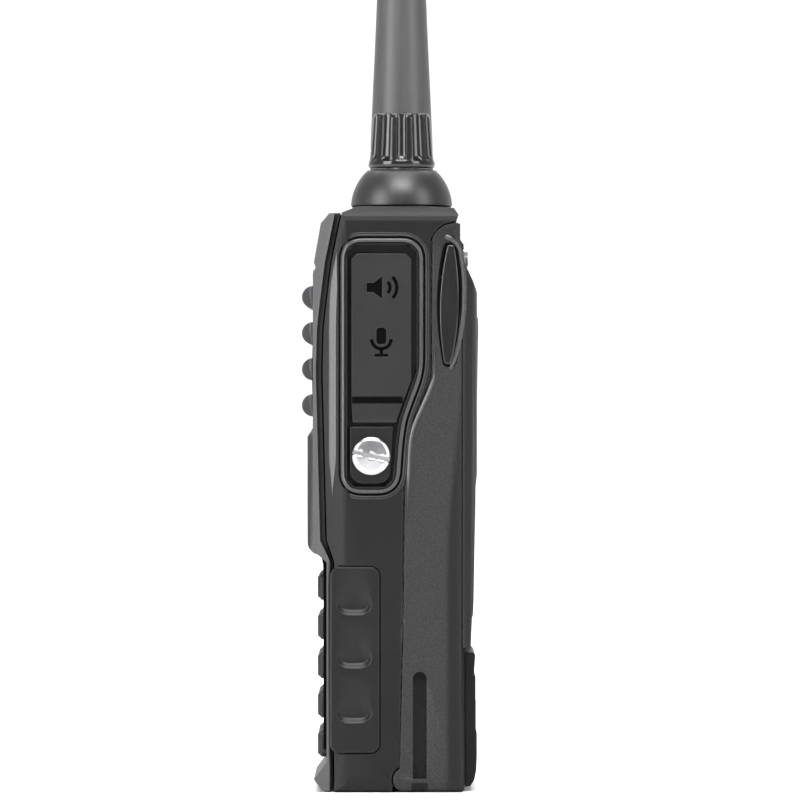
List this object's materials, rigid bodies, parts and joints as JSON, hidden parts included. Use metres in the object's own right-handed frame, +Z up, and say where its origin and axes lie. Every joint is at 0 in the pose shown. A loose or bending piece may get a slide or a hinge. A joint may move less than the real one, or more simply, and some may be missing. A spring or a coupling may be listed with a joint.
{
  "type": "portable radio",
  "caption": "Black handheld two-way radio with a rubber whip antenna, volume knob, ribbed speaker grille, keypad, side jack cover and tilt-off battery.",
  "frame": {"origin": "on the surface the radio stands on, under the middle of the housing", "axes": "+Z up along the antenna; the keypad and screen face -Y; the jack cover is on +X and the talk button on -X"},
  "size_m": [0.0584, 0.033, 0.2676],
  "materials": {
    "case_plastic": "fine moulded grain, satin black",
    "fascia_plastic": "semi-gloss black",
    "battery_plastic": "coarse leather-like moulded grain, black",
    "soft_rubber": "soft matte black rubber",
    "key_rubber": "black silicone rubber",
    "knob_plastic": "glossy fluted black",
    "antenna_rubber": "smooth satin black rubber",
    "mat_silicone": "translucent grey silicone",
    "bright_nickel": "bright nickel plate",
    "plated_steel": "zinc plated",
    "gold_contact": "gold plated brass",
    "cast_metal": "die cast, matt",
    "copper_wire": "copper plated steel",
    "board_green": "green solder mask",
    "shield_tin": "tin plate",
    "window_clear": "clear acrylic over a dark screen",
    "screen_glass": "liquid crystal glass",
    "lens_clear": "clear polycarbonate",
    "light_pipe": "milky light pipe",
    "cloth": "black dust cloth",
    "cone_paper": "black speaker cone in a steel basket",
    "cell_film": "blue shrink film over cells",
    "inner_black": "plain black moulding"
  },
  "bodies": {
    "root": {"front_case": "case_plastic", "front_fascia": "fascia_plastic", "speaker_grille": "fascia_plastic", "speaker_cloth": "cloth", "speaker": "cone_paper", "screen_window": "window_clear", "screen_module": "screen_glass", "keypad_mat": "mat_silicone", "grip_pads": "soft_rubber", "cover_plate": "soft_rubber", "jack_block": "inner_black", "volume_control": "plated_steel", "knob_collar": "case_plastic", "antenna_collar": "case_plastic", "antenna_connector": "gold_contact", "torch_lens": "lens_clear", "status_light": "light_pipe", "chassis": "cast_metal", "case_screws": "plated_steel", "main_board": "board_green", "board_shield": "shield_tin", "microphone": "plated_steel", "battery_pins": "gold_contact"},
    "antenna": {"antenna_sheath": "antenna_rubber", "antenna_coil": "copper_wire", "antenna_ferrule": "gold_contact"},
    "volume_knob": {"volume_knob": "knob_plastic", "volume_shaft": "cast_metal"},
    "ptt_button": {"ptt_button": "soft_rubber"},
    "call_key": {"call_key": "key_rubber"},
    "monitor_key": {"monitor_key": "key_rubber"},
    "jack_cover": {"jack_cover": "soft_rubber"},
    "cover_screw": {"cover_screw": "bright_nickel"},
    "battery": {"battery_case": "battery_plastic", "battery_cover": "battery_plastic", "battery_cells": "cell_film", "battery_board": "board_green", "battery_contacts": "gold_contact", "charge_block": "case_plastic", "release_springs": "plated_steel", "clip_screws": "bright_nickel"},
    "release_button_right": {"release_button_right": "knob_plastic"},
    "release_button_left": {"release_button_left": "knob_plastic"},
    "key_1": {"key_1": "key_rubber"},
    "key_2": {"key_2": "key_rubber"},
    "key_3": {"key_3": "key_rubber"},
    "key_4": {"key_4": "key_rubber"},
    "key_5": {"key_5": "key_rubber"},
    "key_6": {"key_6": "key_rubber"},
    "key_7": {"key_7": "key_rubber"},
    "key_8": {"key_8": "key_rubber"},
    "key_9": {"key_9": "key_rubber"},
    "key_star": {"key_star": "key_rubber"},
    "key_0": {"key_0": "key_rubber"},
    "key_hash": {"key_hash": "key_rubber"},
    "key_menu": {"key_menu": "key_rubber"},
    "key_up": {"key_up": "key_rubber"},
    "key_down": {"key_down": "key_rubber"},
    "key_exit": {"key_exit": "key_rubber"}
  },
  "joints": [
    {"name": "key_1_press", "type": "slide", "parent": "root", "child": "key_1", "axis": [0, 1, 0], "range_m": [0, 0.0006], "stiffness_N_per_m": 300, "springref_m": -0.0006},
    {"name": "key_2_press", "type": "slide", "parent": "root", "child": "key_2", "axis": [0, 1, 0], "range_m": [0, 0.0006], "stiffness_N_per_m": 300, "springref_m": -0.0006},
    {"name": "key_3_press", "type": "slide", "parent": "root", "child": "key_3", "axis": [0, 1, 0], "range_m": [0, 0.0006], "stiffness_N_per_m": 300, "springref_m": -0.0006},
    {"name": "key_4_press", "type": "slide", "parent": "root", "child": "key_4", "axis": [0, 1, 0], "range_m": [0, 0.0006], "stiffness_N_per_m": 300, "springref_m": -0.0006},
    {"name": "key_5_press", "type": "slide", "parent": "root", "child": "key_5", "axis": [0, 1, 0], "range_m": [0, 0.0006], "stiffness_N_per_m": 300, "springref_m": -0.0006},
    {"name": "key_6_press", "type": "slide", "parent": "root", "child": "key_6", "axis": [0, 1, 0], "range_m": [0, 0.0006], "stiffness_N_per_m": 300, "springref_m": -0.0006},
    {"name": "key_7_press", "type": "slide", "parent": "root", "child": "key_7", "axis": [0, 1, 0], "range_m": [0, 0.0006], "stiffness_N_per_m": 300, "springref_m": -0.0006},
    {"name": "key_8_press", "type": "slide", "parent": "root", "child": "key_8", "axis": [0, 1, 0], "range_m": [0, 0.0006], "stiffness_N_per_m": 300, "springref_m": -0.0006},
    {"name": "key_9_press", "type": "slide", "parent": "root", "child": "key_9", "axis": [0, 1, 0], "range_m": [0, 0.0006], "stiffness_N_per_m": 300, "springref_m": -0.0006},
    {"name": "key_star_press", "type": "slide", "parent": "root", "child": "key_star", "axis": [0, 1, 0], "range_m": [0, 0.0006], "stiffness_N_per_m": 300, "springref_m": -0.0006},
    {"name": "key_0_press", "type": "slide", "parent": "root", "child": "key_0", "axis": [0, 1, 0], "range_m": [0, 0.0006], "stiffness_N_per_m": 300, "springref_m": -0.0006},
    {"name": "key_hash_press", "type": "slide", "parent": "root", "child": "key_hash", "axis": [0, 1, 0], "range_m": [0, 0.0006], "stiffness_N_per_m": 300, "springref_m": -0.0006},
    {"name": "key_menu_press", "type": "slide", "parent": "root", "child": "key_menu", "axis": [0, 1, 0], "range_m": [0, 0.0006], "stiffness_N_per_m": 300, "springref_m": -0.0006},
    {"name": "key_up_press", "type": "slide", "parent": "root", "child": "key_up", "axis": [0, 1, 0], "range_m": [0, 0.0006], "stiffness_N_per_m": 300, "springref_m": -0.0006},
    {"name": "key_down_press", "type": "slide", "parent": "root", "child": "key_down", "axis": [0, 1, 0], "range_m": [0, 0.0006], "stiffness_N_per_m": 300, "springref_m": -0.0006},
    {"name": "key_exit_press", "type": "slide", "parent": "root", "child": "key_exit", "axis": [0, 1, 0], "range_m": [0, 0.0006], "stiffness_N_per_m": 300, "springref_m": -0.0006},
    {"name": "ptt_press", "type": "slide", "parent": "root", "child": "ptt_button", "axis": [1, 0, 0], "range_m": [0, 0.0008], "stiffness_N_per_m": 600, "springref_m": -0.0008},
    {"name": "call_press", "type": "slide", "parent": "root", "child": "call_key", "axis": [1, 0, 0], "range_m": [0, 0.0008], "stiffness_N_per_m": 300, "springref_m": -0.0008},
    {"name": "monitor_press", "type": "slide", "parent": "root", "child": "monitor_key", "axis": [1, 0, 0], "range_m": [0, 0.0008], "stiffness_N_per_m": 300, "springref_m": -0.0008},
    {"name": "volume_turn", "type": "hinge", "parent": "root", "child": "volume_knob", "pos_m": [0.0142, 0.0022, 0.12], "axis": [0, 0, -1], "range_deg": [0, 300]},
    {"name": "antenna_unscrew", "type": "hinge", "parent": "root", "child": "antenna", "pos_m": [-0.0142, 0.0022, 0.12], "axis": [0, 0, 1], "continuous": true},
    {"name": "cover_screw_turn", "type": "hinge", "parent": "root", "child": "cover_screw", "pos_m": [0.027, -0.0035, 0.0632], "axis": [1, 0, 0], "continuous": true},
    {"name": "jack_cover_open", "type": "hinge", "parent": "root", "child": "jack_cover", "pos_m": [0.0274, -0.0028, 0.07], "axis": [0, 1, 0], "range_deg": [0, 100]},
    {"name": "battery_tilt", "type": "hinge", "parent": "root", "child": "battery", "pos_m": [0, 0.003, 0.0024], "axis": [-1, 0, 0], "range_deg": [0, 25]},
    {"name": "release_right_press", "type": "slide", "parent": "battery", "child": "release_button_right", "axis": [-1, 0, 0], "range_m": [0, 0.0008], "stiffness_N_per_m": 500, "springref_m": -0.0008},
    {"name": "release_left_press", "type": "slide", "parent": "battery", "child": "release_button_left", "axis": [1, 0, 0], "range_m": [0, 0.0008], "stiffness_N_per_m": 500, "springref_m": -0.0008}
  ]
}
